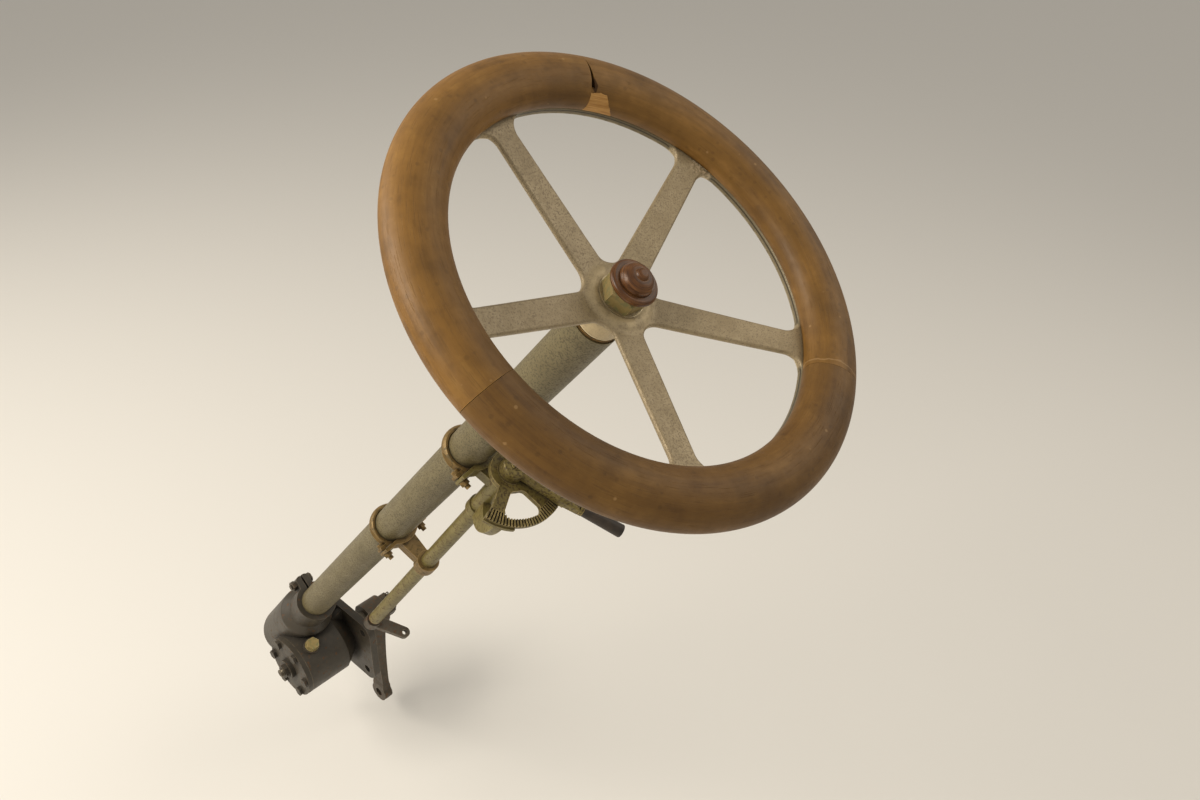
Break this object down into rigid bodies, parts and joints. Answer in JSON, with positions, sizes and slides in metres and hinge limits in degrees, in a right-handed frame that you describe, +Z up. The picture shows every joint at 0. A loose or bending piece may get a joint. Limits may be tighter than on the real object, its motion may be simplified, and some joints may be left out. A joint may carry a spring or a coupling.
{
  "type": "steering wheel and column of a brass era car",
  "caption": "Raked steering column with a wood-rimmed spoked wheel, a hand lever on a toothed quadrant, and a steering box with its drop arm.",
  "frame": {"origin": "on the steering box's mounting face, at the centre of its four bolt holes, where the sector shaft passes through the chassis rail", "axes": "+X to the car's right, out of the mounting face along the sector shaft; +Y forward; +Z up; the column leans back 38 degrees from the vertical"},
  "size_m": [0.41, 0.891, 1.2111],
  "materials": {
    "rim_wood": "varnished, worn through to lighter wood",
    "knob_wood": "dark polished",
    "spider_metal": "cast, dull and tarnished",
    "nut_brass": "tarnished",
    "shaft_steel": "turned",
    "bush_bronze": "turned bronze",
    "column_paint": "old grey-green paint, mottled",
    "clip_bronze": "coppery bronze, tarnished",
    "control_paint": "old yellow-green paint over brass, chipped",
    "lever_brass": "green tarnish",
    "grip_black": "hard black rubber, dull",
    "box_iron": "painted casting, greasy",
    "arm_steel": "forged, dull"
  },
  "bodies": {
    "column": {"column_tube": "column_paint", "column_top_bush": "bush_bronze", "upper_strap": "clip_bronze", "upper_clip_bolts": "clip_bronze", "quadrant_bracket": "control_paint", "quadrant": "lever_brass", "lower_strap": "clip_bronze", "lower_clip_bolts": "clip_bronze", "lower_bracket": "clip_bronze", "control_tube": "control_paint", "control_foot_bush": "bush_bronze", "steering_box": "box_iron", "box_cover": "box_iron", "box_cap": "box_iron", "neck_bolt": "arm_steel", "oil_plug": "nut_brass"},
    "wheel": {"rim_front": "rim_wood", "rim_rear": "rim_wood", "rim_right": "rim_wood", "wheel_spider": "spider_metal", "wheel_washer": "shaft_steel", "wheel_nut": "nut_brass", "hub_knob": "knob_wood", "steering_shaft": "shaft_steel"},
    "control": {"control_shaft": "shaft_steel", "control_lever": "lever_brass", "lever_grip": "grip_black", "control_foot_arm": "arm_steel"},
    "drop_arm": {"sector_shaft": "shaft_steel", "drop_arm": "arm_steel", "drop_arm_nut": "arm_steel"}
  },
  "joints": [
    {"name": "steering", "type": "hinge", "parent": "column", "child": "wheel", "pos_m": [-0.062, -0.6069, 0.871], "axis": [0, -0.6157, 0.788], "range_deg": [-270, 270]},
    {"name": "drop_arm", "type": "hinge", "parent": "column", "child": "drop_arm", "pos_m": [0, 0, 0], "axis": [1, 0, 0], "range_deg": [-30, 30]},
    {"name": "control_lever", "type": "hinge", "parent": "column", "child": "control", "pos_m": [-0.0548, -0.45615, 0.60426], "axis": [-0.0093, -0.5684, 0.8227], "range_deg": [-86, 0]}
  ],
  "couplings": [
    {"joint": "drop_arm", "follows": "steering", "ratio": 0.11111}
  ]
}
